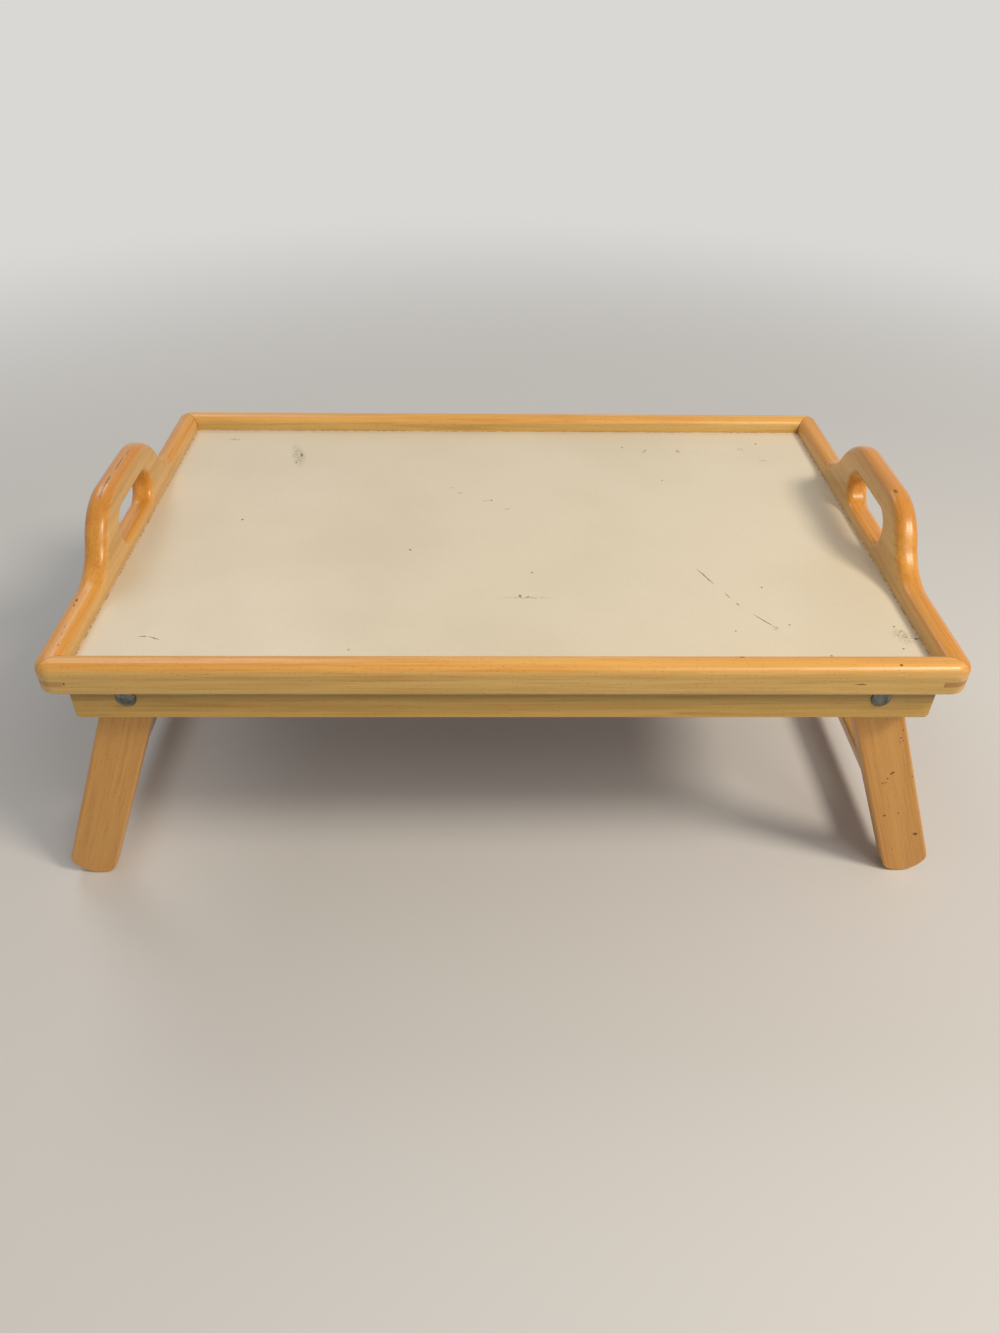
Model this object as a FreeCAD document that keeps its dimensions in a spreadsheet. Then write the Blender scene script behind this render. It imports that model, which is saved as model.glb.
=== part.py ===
import FreeCAD, Part
import math
import os
import Sketcher

# A folding bed tray table: a mitred beech frame with a handle rising out of each end board, a thin
# panel held in the frame's rabbet by two aprons, and two leg frames that swing on coach bolts.
# Origin: on the floor under the middle of the tray. +X along the tray, +Y to the rear, +Z up.

doc = FreeCAD.newDocument("bed_tray_table")

# Driving dimensions: name, value in millimetres (angles in degrees), meaning.
SIZES = [
    ("tray_length", 580, "frame, outside, end to end"),
    ("tray_depth", 380, "frame, outside, front to rear"),
    ("tray_lift", 197.5, "floor to the underside of the frame"),
    ("frame_thickness", 17, "thickness of rails and end boards"),
    ("rail_height", 22, "height of the frame away from the handles"),
    ("corner_radius", 12, "rounding of the frame's corners in plan"),
    ("top_rounding", 7, "rounding of the frame's two top edges"),
    ("under_rounding", 3, "rounding of the frame's lower outer edge"),
    ("rabbet_depth", 7, "rabbet for panel and apron, into the frame's inner face"),
    ("rabbet_height", 10, "rabbet, up from the frame's underside"),
    ("key_reach", 18.5, "corner key, how far it reaches from the corner along each face"),
    ("key_thickness", 4, "corner key and its kerf"),
    ("key_height", 9.2, "middle of the corner key above the frame's underside"),
    ("handle_rise", 41, "handle's crown above the rails"),
    ("crown_radius", 49, "rounding of the handle's shoulders"),
    ("sweep_radius", 40, "hollow sweep from shoulder to rail"),
    ("grip_length", 55, "straight part of the handle's crown"),
    ("handle_shift", 4.5, "middle of handle and hand hole, forward of the frame's middle"),
    ("hand_hole_length", 75, "hand hole, end to end"),
    ("hand_hole_height", 26, "hand hole, floor to roof"),
    ("hand_hole_lift", 18, "floor of the hand hole above the frame's underside"),
    ("hand_hole_rounding", 5, "rounding of the hand hole's edges"),
    ("panel_thickness", 3, "tray panel"),
    ("panel_play", 0.3, "panel to rabbet wall, each side"),
    ("apron_length", 550, "apron, end to end"),
    ("apron_thickness", 14, "apron"),
    ("apron_cover", 0.25, "how far the apron hangs below the folded legs"),
    ("apron_corner", 3, "rounding of the apron's lower corners"),
    ("edge_ease", 1, "eased long edges of aprons"),
    ("leg_width", 33, "leg, across its face; its head is a half round of this width"),
    ("leg_thickness", 15, "leg"),
    ("leg_rounding", 2, "rounded edges of legs"),
    ("shoulder_rounding", 3, "rounding of the leg's stop shoulder"),
    ("splay_angle", 21.5, "open leg to the vertical"),
    ("pivot_spacing", 480, "between left and right pivots"),
    ("stop_play", 0.25, "leg's head, and its shoulder when open, to the panel's underside"),
    ("tread_crown", 3, "foot's rounded end, its radius beyond half the leg's width"),
    ("toe_radius", 9, "foot's corners"),
    ("stretcher_width", 26, "stretcher, along the leg"),
    ("stretcher_thickness", 10, "stretcher, across the leg's width"),
    ("stretcher_height", 34, "stretcher's middle above the floor, legs open"),
    ("stretcher_rounding", 2.5, "rounded edges of the stretcher"),
    ("tenon_shoulder", 2.5, "stretcher to its stub tenon, all round"),
    ("tenon_length", 8, "stub tenon"),
    ("tenon_play", 0.1, "mortise to tenon, each side"),
    ("bolt_diameter", 6, "coach bolt shank, and its square neck across the flats"),
    ("bolt_head_diameter", 13, "domed head"),
    ("bolt_head_height", 3.6, "domed head, with its rim"),
    ("bolt_head_rim", 0.7, "straight rim of the head"),
    ("bolt_neck", 3.5, "length of the square neck"),
    ("bolt_tip", 1.5, "thread standing out of the nut"),
    ("bolt_play", 0.06, "leg's pivot hole to bolt, on the radius"),
    ("hole_play", 0.2, "apron's, washers' and nut's holes to bolt, on the radius"),
    ("washer_diameter", 14, "washers, outside"),
    ("spacer_thickness", 1, "washer between apron and leg"),
    ("washer_thickness", 1.2, "washer under the nut"),
    ("running_gap", 0.2, "leg to each of its washers"),
    ("nut_wall", 1.8, "nut, from its bore to its flats"),
    ("nut_hex_height", 4.4, "nut's hexagon"),
    ("nut_collar_height", 1.8, "nut's rounded collar, which holds the locking ring"),
    ("nut_collar_wall", 0.65, "nut's collar, round the seat of the locking ring"),
    ("ring_wall", 0.65, "nylon locking ring, from its bore to its outside"),
    ("ring_height", 1.4, "nylon locking ring"),
    ("ring_depth", 0.2, "top of the ring below the collar's rim"),
    ("ring_play", 0.05, "ring to its seat, and to the bolt on the radius"),
]

sizes = doc.addObject("Spreadsheet::Sheet", "sizes")
for row, (alias, amount, meaning) in enumerate(SIZES, start=1):
    sizes.set("A%d" % row, alias)
    sizes.set("B%d" % row, str(amount))
    sizes.set("C%d" % row, meaning)
    sizes.setAlias("B%d" % row, alias)
doc.recompute()

# Places that several pieces share, as expressions on the sheet.
HALF_LENGTH = "(sizes.tray_length / 2)"
HALF_DEPTH = "(sizes.tray_depth / 2)"
RAIL_TOP = "(sizes.tray_lift + sizes.rail_height)"
CROWN_TOP = "(sizes.tray_lift + sizes.rail_height + sizes.handle_rise)"
RABBET_TOP = "(sizes.tray_lift + sizes.rabbet_height)"
RABBET_WALL = "(sizes.frame_thickness - sizes.rabbet_depth)"
PANEL_UNDERSIDE = "(sizes.tray_lift + sizes.rabbet_height - sizes.panel_thickness)"
PIVOT_HEIGHT = "(%s - sizes.stop_play - sizes.leg_width / 2)" % PANEL_UNDERSIDE
APRON_BOTTOM = "(%s - sizes.leg_width / 2 - sizes.apron_cover)" % PIVOT_HEIGHT
APRON_FACE = "(%s - %s)" % (HALF_DEPTH, RABBET_WALL)
LEG_FACE = "(%s - sizes.apron_thickness - sizes.spacer_thickness - sizes.running_gap)" % APRON_FACE
LEG_BACK = "(%s - sizes.leg_thickness)" % LEG_FACE
TREAD_RADIUS = "(sizes.leg_width / 2 + sizes.tread_crown)"
TREAD_REACH = "((%s - %s) / cos(sizes.splay_angle * 1deg))" % (PIVOT_HEIGHT, TREAD_RADIUS)
STRETCHER_REACH = "((%s - sizes.stretcher_height) / cos(sizes.splay_angle * 1deg))" % PIVOT_HEIGHT

FRONT, REAR = -1, 1
LEFT, RIGHT = -1, 1
END_NAME = {FRONT: "front", REAR: "rear"}
SIDE_NAME = {LEFT: "left", RIGHT: "right"}
CORNERS = [(side, end) for side in (LEFT, RIGHT) for end in (FRONT, REAR)]
OVERRUN = 5.0  # how far a cutter runs past the wood it cuts

sub_parts = []


def mm(expression):
    """The present value of an expression on the sheet."""
    return float(sizes.evalExpression(str(expression)))


def new_body(name):
    body = doc.addObject("PartDesign::Body", name)
    body.Label = name
    sub_parts.append(body)
    return body


class Outline:
    """A closed sketch outline on one of a body's origin planes, bound to the sheet.

    Lines and arcs are added in order round the outline, each starting where the last one ended.
    """

    def __init__(self, body, role, name, height="0"):
        self.sketch = body.newObject("Sketcher::SketchObject", name)
        plane = [item for item in body.Origin.OriginFeatures if item.Role == role][0]
        self.sketch.AttachmentSupport = (plane, [""])
        self.sketch.MapMode = "FlatFace"
        self.sketch.AttachmentOffset = FreeCAD.Placement(FreeCAD.Vector(0, 0, mm(height)),
                                                         FreeCAD.Rotation())
        self.sketch.setExpression("AttachmentOffset.Base.z", str(height))
        self.pieces = []

    def constrain(self, expression, *terms):
        index = self.sketch.addConstraint(Sketcher.Constraint(*terms, mm(expression)))
        self.sketch.setExpression("Constraints[%d]" % index, str(expression))

    def slope(self, index, expression):
        """Holds a line at a bound angle to the sketch's horizontal, in degrees."""
        number = self.sketch.addConstraint(
            Sketcher.Constraint("Angle", index, math.radians(mm(expression))))
        self.sketch.setExpression("Constraints[%d]" % number, str(expression))

    def line(self, first, last):
        segment = Part.LineSegment(FreeCAD.Vector(*first), FreeCAD.Vector(*last))
        index = self.sketch.addGeometry(segment)
        self.pieces.append((index, 1, 2))
        return index

    def arc(self, centre, radius, first, last, clockwise=False):
        """An arc about centre; its radius is an expression, the rest are present places."""
        start, end = (last, first) if clockwise else (first, last)
        angles = [math.atan2(point[1] - centre[1], point[0] - centre[0]) for point in (start, end)]
        if angles[1] <= angles[0]:
            angles[1] += 2 * math.pi
        circle = Part.Circle(FreeCAD.Vector(*centre), FreeCAD.Vector(0, 0, 1), mm(radius))
        index = self.sketch.addGeometry(Part.ArcOfCircle(circle, *angles))
        self.pieces.append((index, 2, 1) if clockwise else (index, 1, 2))
        self.constrain(radius, "Radius", index)
        return index

    def pin(self, index, point, across=None, up=None):
        """Holds one point (1 first end, 2 last end, 3 centre) at bound distances from the origin."""
        if across is not None:
            self.constrain(across, "DistanceX", -1, 1, index, point)
        if up is not None:
            self.constrain(up, "DistanceY", -1, 1, index, point)

    def close(self, smooth=()):
        """Joins the pieces end to end; smooth holds the numbers of the joints that are tangent."""
        for number, (index, _, last) in enumerate(self.pieces):
            after, first, _ = self.pieces[(number + 1) % len(self.pieces)]
            kind = "Tangent" if number in smooth else "Coincident"
            self.sketch.addConstraint(Sketcher.Constraint(kind, index, last, after, first))
        return self.sketch

    def polygon(self, corners):
        """A closed outline of straight lines through corners given as pairs of expressions."""
        places = [(mm(across), mm(up)) for across, up in corners]
        for number, (across, up) in enumerate(corners):
            index = self.line(places[number], places[(number + 1) % len(places)])
            self.pin(index, 1, across, up)
        return self.close()

    def circle(self, radius, across="0", up="0"):
        shape = Part.Circle(FreeCAD.Vector(mm(across), mm(up)), FreeCAD.Vector(0, 0, 1), mm(radius))
        index = self.sketch.addGeometry(shape)
        self.constrain(radius, "Radius", index)
        self.pin(index, 3, across, up)
        return self.sketch


def box_outline(body, role, name, low, high, height="0"):
    """A rectangle between two opposite corners, each a pair of expressions."""
    corners = [low, (high[0], low[1]), high, (low[0], high[1])]
    return Outline(body, role, name, height).polygon(corners)


def worked_out(feature):
    """Works out one feature and the sketch it stands on, and leaves the rest of the part alone."""
    if hasattr(feature, "Profile"):
        feature.Profile[0].recompute()
    feature.recompute()
    return feature


def pad(body, name, sketch, length, midplane=False, reverse=False):
    feature = body.newObject("PartDesign::Pad", name)
    feature.Profile = sketch
    feature.Midplane = midplane
    feature.Reversed = reverse
    feature.setExpression("Length", str(length))
    return worked_out(feature)


def pocket(body, name, sketch, length=None, reverse=False):
    """Cuts to a bound depth, or right through; it has to take some wood away."""
    before = body.Tip.Shape.Volume
    feature = body.newObject("PartDesign::Pocket", name)
    feature.Profile = sketch
    feature.Reversed = reverse
    if length is None:
        feature.Type = "ThroughAll"
    else:
        feature.setExpression("Length", str(length))
    worked_out(feature)
    if not feature.Shape.Volume < before - 1e-3:
        raise RuntimeError("%s of %s cuts nothing" % (name, body.Label))
    return feature


def fillet(body, name, base, radius, wanted):
    """Rounds the edges of base that the test wanted picks."""
    edges = ["Edge%d" % (number + 1) for number, edge in enumerate(base.Shape.Edges) if wanted(edge)]
    feature = body.newObject("PartDesign::Fillet", name)
    feature.Base = (base, edges)
    feature.setExpression("Radius", str(radius))
    return worked_out(feature)


def lies_at(edge, axis, place, tolerance=0.01):
    """True for an edge that lies in the plane at this place on the axis (0 X, 1 Y, 2 Z)."""
    box = edge.BoundBox
    low, high = ((box.XMin, box.XMax), (box.YMin, box.YMax), (box.ZMin, box.ZMax))[axis]
    return abs(low - place) < tolerance and abs(high - place) < tolerance


def runs_along(edge, axis):
    """True for a straight edge parallel to the axis."""
    if not isinstance(edge.Curve, (Part.Line, Part.LineSegment)):
        return False
    direction = edge.Curve.Direction
    return abs(abs((direction.x, direction.y, direction.z)[axis]) - 1) < 1e-6


# The frame: four members cut from one moulding, mitred at 45 degrees.

def swap(pair, along_y):
    return (pair[1], pair[0]) if along_y else pair


def mitred_blank(body, half_run, half_cross, way, along_y, height):
    """One frame member in plan, padded up: a bar with mitred ends and its half of each corner arc.

    half_run is half the frame's size along the member, half_cross half its size across, and way
    (-1 or +1) the side of the frame it lies on.
    """
    outline = Outline(body, "XY_Plane", "plan", "sizes.tray_lift")
    run, cross = mm(half_run), mm(half_cross)
    thickness, radius = mm("sizes.frame_thickness"), mm("sizes.corner_radius")
    tip = radius * (1 - math.sqrt(0.5))

    def place(along, depth):
        return swap((along, way * (cross - depth)), along_y)

    starts = [place(-run + radius, 0), place(run - radius, 0), place(run - tip, tip),
              place(run - thickness, thickness), place(-run + thickness, thickness),
              place(-run + tip, tip)]
    clockwise = (way > 0) != along_y
    outline.line(starts[0], starts[1])
    right_arc = outline.arc(place(run - radius, radius), "sizes.corner_radius",
                            starts[1], starts[2], clockwise)
    right_mitre = outline.line(starts[2], starts[3])
    outline.line(starts[3], starts[4])
    left_mitre = outline.line(starts[4], starts[5])
    left_arc = outline.arc(place(-run + radius, radius), "sizes.corner_radius",
                           starts[5], starts[0], clockwise)
    inner_along = "(%s - sizes.frame_thickness)" % half_run
    inner_across = "%d * (%s - sizes.frame_thickness)" % (way, half_cross)
    arc_along = "(%s - sizes.corner_radius)" % half_run
    arc_across = "%d * (%s - sizes.corner_radius)" % (way, half_cross)
    outline.pin(right_mitre, 2, *swap((inner_along, inner_across), along_y))
    outline.pin(left_mitre, 1, *swap(("-" + inner_along, inner_across), along_y))
    outline.pin(right_arc, 3, *swap((arc_along, arc_across), along_y))
    outline.pin(left_arc, 3, *swap(("-" + arc_along, arc_across), along_y))
    sketch = outline.close(smooth=(0, 5))
    for arc_index, mitre in ((right_arc, right_mitre), (left_arc, left_mitre)):
        sketch.addConstraint(Sketcher.Constraint("PointOnObject", arc_index, 3, mitre))
    return pad(body, "blank", sketch, height)


def cut_rabbet(body, half_run, half_cross, way, along_y):
    wall = "%d * (%s - %s)" % (way, half_cross, RABBET_WALL)
    inside = "%d * (%s - sizes.frame_thickness - %g)" % (way, half_cross, OVERRUN)
    low = swap(("-" + half_run, wall), along_y)
    high = swap((half_run, inside), along_y)
    sketch = box_outline(body, "XY_Plane", "rabbet_plan", low, high, RABBET_TOP)
    return pocket(body, "rabbet", sketch, "sizes.rabbet_height")


def cut_kerf(body, side, end):
    """The slot for a corner key, sawn level across the mitre from outside the corner."""
    reach = "(sizes.key_reach + %g)" % OVERRUN
    corners = [
        ("%d * (%s - %s)" % (side, HALF_LENGTH, reach), "%d * (%s + %g)" % (end, HALF_DEPTH, OVERRUN)),
        ("%d * (%s + %g)" % (side, HALF_LENGTH, OVERRUN), "%d * (%s + %g)" % (end, HALF_DEPTH, OVERRUN)),
        ("%d * (%s + %g)" % (side, HALF_LENGTH, OVERRUN), "%d * (%s - %s)" % (end, HALF_DEPTH, reach)),
    ]
    key_top = "sizes.tray_lift + sizes.key_height + sizes.key_thickness / 2"
    name = "kerf_%s_%s" % (END_NAME[end], SIDE_NAME[side])
    sketch = Outline(body, "XY_Plane", name + "_plan", key_top).polygon(corners)
    return pocket(body, name, sketch, "sizes.key_thickness")


def frame_rail(name, end):
    body = new_body(name)
    mitred_blank(body, HALF_LENGTH, HALF_DEPTH, end, False, "sizes.rail_height")
    cut_rabbet(body, HALF_LENGTH, HALF_DEPTH, end, False)
    cut_kerf(body, LEFT, end)
    last = cut_kerf(body, RIGHT, end)
    corner_start = mm(HALF_DEPTH) - mm("sizes.corner_radius")

    def along_the_rail(edge):
        """True for the rail's long edges and the rounded ends they run into, not for the mitres."""
        return runs_along(edge, 0) or isinstance(edge.Curve, Part.Circle)

    def top_edge(edge):
        return lies_at(edge, 2, mm(RAIL_TOP)) and along_the_rail(edge)

    def under_edge(edge):
        outer = abs(edge.BoundBox.Center.y) > corner_start
        return lies_at(edge, 2, mm("sizes.tray_lift")) and outer and along_the_rail(edge)

    last = fillet(body, "top_edges", last, "sizes.top_rounding", top_edge)
    fillet(body, "under_edge", last, "sizes.under_rounding", under_edge)


def cut_handle_profile(body, side):
    """Takes away the wood above the end board's top line: rail, hollow sweep, shoulder, crown."""
    outline = Outline(body, "YZ_Plane", "handle_profile")
    low, high, over = mm(RAIL_TOP), mm(CROWN_TOP), mm(CROWN_TOP) + OVERRUN
    end = mm(HALF_DEPTH) + OVERRUN
    crown, sweep = mm("sizes.crown_radius"), mm("sizes.sweep_radius")
    grip, shift = mm("sizes.grip_length / 2"), mm("sizes.handle_shift")
    turn = math.acos(1 - (high - low) / (crown + sweep))
    join = (grip + crown * math.sin(turn), high - crown * (1 - math.cos(turn)))
    landing = grip + (crown + sweep) * math.sin(turn)

    hollow = ((landing, low + sweep), "sizes.sweep_radius", (landing, low), join, False)
    shoulder = ((grip, high - crown), "sizes.crown_radius", join, (grip, high), True)

    def bend(way, centre, radius, outer, inner, clockwise):
        """One arc of one half (-1 front, +1 rear); outer is its end away from the middle."""
        ends = (outer, inner) if way < 0 else (inner, outer)
        places = [(way * place[0] - shift, place[1]) for place in (centre,) + ends]
        outline.arc(places[0], radius, places[1], places[2], clockwise)

    start = outline.line((-end, low), (-landing - shift, low))
    outline.sketch.addConstraint(Sketcher.Constraint("Horizontal", start))
    bend(-1, *hollow)
    bend(-1, *shoulder)
    flat = outline.line((-grip - shift, high), (grip - shift, high))
    bend(1, *shoulder)
    bend(1, *hollow)
    finish = outline.line((landing - shift, low), (end, low))
    outline.sketch.addConstraint(Sketcher.Constraint("Horizontal", finish))
    outline.line((end, low), (end, over))
    top = outline.line((end, over), (-end, over))
    outline.line((-end, over), (-end, low))
    outline.pin(start, 1, "-(%s + %g)" % (HALF_DEPTH, OVERRUN), RAIL_TOP)
    outline.pin(finish, 2, "%s + %g" % (HALF_DEPTH, OVERRUN), RAIL_TOP)
    outline.pin(flat, 1, "-sizes.grip_length / 2 - sizes.handle_shift", CROWN_TOP)
    outline.pin(flat, 2, "sizes.grip_length / 2 - sizes.handle_shift", CROWN_TOP)
    outline.pin(top, 1, "%s + %g" % (HALF_DEPTH, OVERRUN), "%s + %g" % (CROWN_TOP, OVERRUN))
    outline.pin(top, 2, "-(%s + %g)" % (HALF_DEPTH, OVERRUN), "%s + %g" % (CROWN_TOP, OVERRUN))
    sketch = outline.close(smooth=(0, 1, 2, 3, 4, 5))
    return pocket(body, "handle", sketch, reverse=side > 0)


def cut_hand_hole(body, side):
    """A slot with half-round ends, as a router leaves it."""
    radius = "(sizes.hand_hole_height / 2)"
    reach = "(sizes.hand_hole_length / 2 - %s)" % radius
    to_front = "(-%s - sizes.handle_shift)" % reach
    to_rear = "(%s - sizes.handle_shift)" % reach
    middle = "(sizes.tray_lift + sizes.hand_hole_lift + %s)" % radius
    y1, y2, z, r = mm(to_front), mm(to_rear), mm(middle), mm(radius)
    outline = Outline(body, "YZ_Plane", "hand_hole_profile")
    outline.line((y1, z - r), (y2, z - r))
    rear = outline.arc((y2, z), radius, (y2, z - r), (y2, z + r))
    outline.line((y2, z + r), (y1, z + r))
    front = outline.arc((y1, z), radius, (y1, z + r), (y1, z - r))
    outline.pin(rear, 3, to_rear, middle)
    outline.pin(front, 3, to_front, middle)
    sketch = outline.close(smooth=(0, 1, 2, 3))
    return pocket(body, "hand_hole", sketch, reverse=side > 0)


def end_board(name, side):
    body = new_body(name)
    mitred_blank(body, HALF_DEPTH, HALF_LENGTH, side, True, "sizes.rail_height + sizes.handle_rise")
    cut_handle_profile(body, side)
    cut_rabbet(body, HALF_DEPTH, HALF_LENGTH, side, True)
    cut_kerf(body, side, FRONT)
    cut_kerf(body, side, REAR)
    last = cut_hand_hole(body, side)
    outer = mm(HALF_LENGTH)
    inner = outer - mm("sizes.frame_thickness")
    low = mm("sizes.tray_lift")
    hole_low = low + mm("sizes.hand_hole_lift")
    hole_high = hole_low + mm("sizes.hand_hole_height")
    hole_front = mm("-sizes.hand_hole_length / 2 - sizes.handle_shift")
    hole_rear = mm("sizes.hand_hole_length / 2 - sizes.handle_shift")

    def on_face(edge):
        return lies_at(edge, 0, side * outer) or lies_at(edge, 0, side * inner)

    def round_hole(edge):
        box = edge.BoundBox
        inside = box.YMin > hole_front - 0.1 and box.YMax < hole_rear + 0.1
        return on_face(edge) and inside and box.ZMin > hole_low - 0.1 and box.ZMax < hole_high + 0.1

    def corner_arc(edge):
        centre = edge.BoundBox.Center
        return isinstance(edge.Curve, Part.Circle) and lies_at(edge, 2, centre.z) \
            and abs(edge.Curve.Radius - mm("sizes.corner_radius")) < 0.01

    def top_line(edge):
        box = edge.BoundBox
        above = box.ZMin > mm(RAIL_TOP) - 0.01
        return above and not round_hole(edge) and (on_face(edge) or corner_arc(edge))

    def under_edge(edge):
        return lies_at(edge, 2, low) and (lies_at(edge, 0, side * outer) or corner_arc(edge))

    last = fillet(body, "top_edges", last, "sizes.top_rounding", top_line)
    last = fillet(body, "hand_hole_edges", last, "sizes.hand_hole_rounding", round_hole)
    fillet(body, "under_edge", last, "sizes.under_rounding", under_edge)


def corner_key(name, side, end):
    """A flat feather of wood, its outer corner trimmed flush with the frame."""
    body = new_body(name)
    x, y = mm(HALF_LENGTH), mm(HALF_DEPTH)
    reach, radius = mm("sizes.key_reach"), mm("sizes.corner_radius")
    key_bottom = "sizes.tray_lift + sizes.key_height - sizes.key_thickness / 2"
    outline = Outline(body, "XY_Plane", "plan", key_bottom)

    def place(along_x, along_y):
        return (side * (x - along_x), end * (y - along_y))

    first = outline.line(place(reach, 0), place(radius, 0))
    arc_index = outline.arc(place(radius, radius), "sizes.corner_radius",
                            place(radius, 0), place(0, radius), clockwise=side * end > 0)
    last = outline.line(place(0, radius), place(0, reach))
    outline.line(place(0, reach), place(reach, 0))
    outline.pin(first, 1, "%d * (%s - sizes.key_reach)" % (side, HALF_LENGTH),
                "%d * %s" % (end, HALF_DEPTH))
    outline.pin(last, 2, "%d * %s" % (side, HALF_LENGTH),
                "%d * (%s - sizes.key_reach)" % (end, HALF_DEPTH))
    outline.pin(arc_index, 3, "%d * (%s - sizes.corner_radius)" % (side, HALF_LENGTH),
                "%d * (%s - sizes.corner_radius)" % (end, HALF_DEPTH))
    pad(body, "feather", outline.close(smooth=(0, 1)), "sizes.key_thickness")


frame_rail("front_rail", FRONT)
frame_rail("rear_rail", REAR)
end_board("left_end_board", LEFT)
end_board("right_end_board", RIGHT)
for side, end in CORNERS:
    corner_key("%s_%s_corner_key" % (END_NAME[end], SIDE_NAME[side]), side, end)


# The panel lies in the rabbet on all four sides, with the aprons under its long edges.

def tray_panel(name):
    body = new_body(name)
    half_x = "(%s - %s - sizes.panel_play)" % (HALF_LENGTH, RABBET_WALL)
    half_y = "(%s - %s - sizes.panel_play)" % (HALF_DEPTH, RABBET_WALL)
    sketch = box_outline(body, "XY_Plane", "plan", ("-" + half_x, "-" + half_y), (half_x, half_y),
                         PANEL_UNDERSIDE)
    pad(body, "board", sketch, "sizes.panel_thickness")


def apron(name, end):
    """A bar glued into the rail's rabbet under the panel, bored for the two pivot bolts.

    The bolt holes have square mouths on the show face for the bolts' necks.
    """
    body = new_body(name)
    half = "(sizes.apron_length / 2)"
    back = "(%s - sizes.apron_thickness)" % APRON_FACE
    low, high = ("-" + half, "%d * %s" % (end, back)), (half, "%d * %s" % (end, APRON_FACE))
    sketch = box_outline(body, "XY_Plane", "plan", low, high, APRON_BOTTOM)
    height = "%s - %s" % (PANEL_UNDERSIDE, APRON_BOTTOM)
    blank = pad(body, "bar", sketch, height)
    bottom = mm(APRON_BOTTOM)
    rounded = fillet(body, "corners", blank, "sizes.apron_corner",
                     lambda edge: runs_along(edge, 1) and lies_at(edge, 2, bottom))
    fillet(body, "lower_edges", rounded, "sizes.edge_ease",
           lambda edge: edge.BoundBox.ZMin < bottom + mm("sizes.apron_corner") and
           (lies_at(edge, 1, end * mm(APRON_FACE)) or lies_at(edge, 1, end * mm(back))))
    for side in (LEFT, RIGHT):
        across = "%d * sizes.pivot_spacing / 2" % side
        bore = Outline(body, "XZ_Plane", "bore_%s_circle" % SIDE_NAME[side])
        circle = bore.circle("sizes.bolt_diameter / 2 + sizes.hole_play", across, PIVOT_HEIGHT)
        pocket(body, "bore_%s" % SIDE_NAME[side], circle, reverse=end < 0)
        half_neck = "sizes.bolt_diameter / 2"
        corners = (("%s - %s" % (across, half_neck), "%s - %s" % (PIVOT_HEIGHT, half_neck)),
                   ("%s + %s" % (across, half_neck), "%s + %s" % (PIVOT_HEIGHT, half_neck)))
        mouth = box_outline(body, "XZ_Plane", "mouth_%s_square" % SIDE_NAME[side], *corners,
                            height="%d * %s" % (-end, APRON_FACE))
        pocket(body, "mouth_%s" % SIDE_NAME[side], mouth, "sizes.bolt_neck", reverse=end > 0)


tray_panel("tray_panel")
apron("front_apron", FRONT)
apron("rear_apron", REAR)


# The leg frames. A leg and its stretcher are drawn upright, with the pivot at the origin and the
# outward side at +X, then leaned out by the splay angle.

def lean(body, side, across="0"):
    """Puts a leg piece on its pivot, splayed, at a distance across the tray from the middle."""
    turn = FreeCAD.Rotation(FreeCAD.Vector(0, 0, 1), 0 if side > 0 else 180)
    splay = FreeCAD.Rotation(FreeCAD.Vector(0, 1, 0), -mm("sizes.splay_angle"))
    base = FreeCAD.Vector(side * mm("sizes.pivot_spacing / 2"), mm(across), mm(PIVOT_HEIGHT))
    body.Placement = FreeCAD.Placement(base, turn.multiply(splay))


def leg_outline(body):
    """Half-round head with one square shoulder, straight sides, and a full rounded foot.

    The shoulder's top is level when the leg is open, and bears on the panel's underside there.
    """
    half = mm("sizes.leg_width / 2")
    splay = math.radians(mm("sizes.splay_angle"))
    tread, toe = mm(TREAD_RADIUS), mm("sizes.toe_radius")
    reach = mm(TREAD_REACH)
    crest = (half * math.sin(splay), half * math.cos(splay))
    shoulder = (half, half * math.tan((math.pi / 2 - splay) / 2))
    toe_rise = math.sqrt((tread - toe) ** 2 - (half - toe) ** 2)
    toe_centre = (half - toe, -reach - toe_rise)
    share = tread / (tread - toe)
    blend = (toe_centre[0] * share, -reach - toe_rise * share)

    outline = Outline(body, "XZ_Plane", "leg_outline")
    head = outline.arc((0, 0), "sizes.leg_width / 2", (-half, 0), crest, clockwise=True)
    level = outline.line(crest, shoulder)
    outward = outline.line(shoulder, (half, toe_centre[1]))
    outline.arc(toe_centre, "sizes.toe_radius", (half, toe_centre[1]), blend, clockwise=True)
    foot = outline.arc((0, -reach), TREAD_RADIUS, blend, (-blend[0], blend[1]),
                       clockwise=True)
    outline.arc((-toe_centre[0], toe_centre[1]), "sizes.toe_radius", (-blend[0], blend[1]),
                (-half, toe_centre[1]), clockwise=True)
    inward = outline.line((-half, toe_centre[1]), (-half, 0))
    outline.pin(head, 3, "0", "0")
    outline.pin(foot, 3, "0", "-" + TREAD_REACH)
    outline.pin(outward, 1, across="sizes.leg_width / 2")
    outline.slope(level, "-sizes.splay_angle")
    outline.sketch.addConstraint(Sketcher.Constraint("Vertical", outward))
    outline.sketch.addConstraint(Sketcher.Constraint("Vertical", inward))
    return outline.close(smooth=(0, 2, 3, 4, 5, 6))


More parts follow.
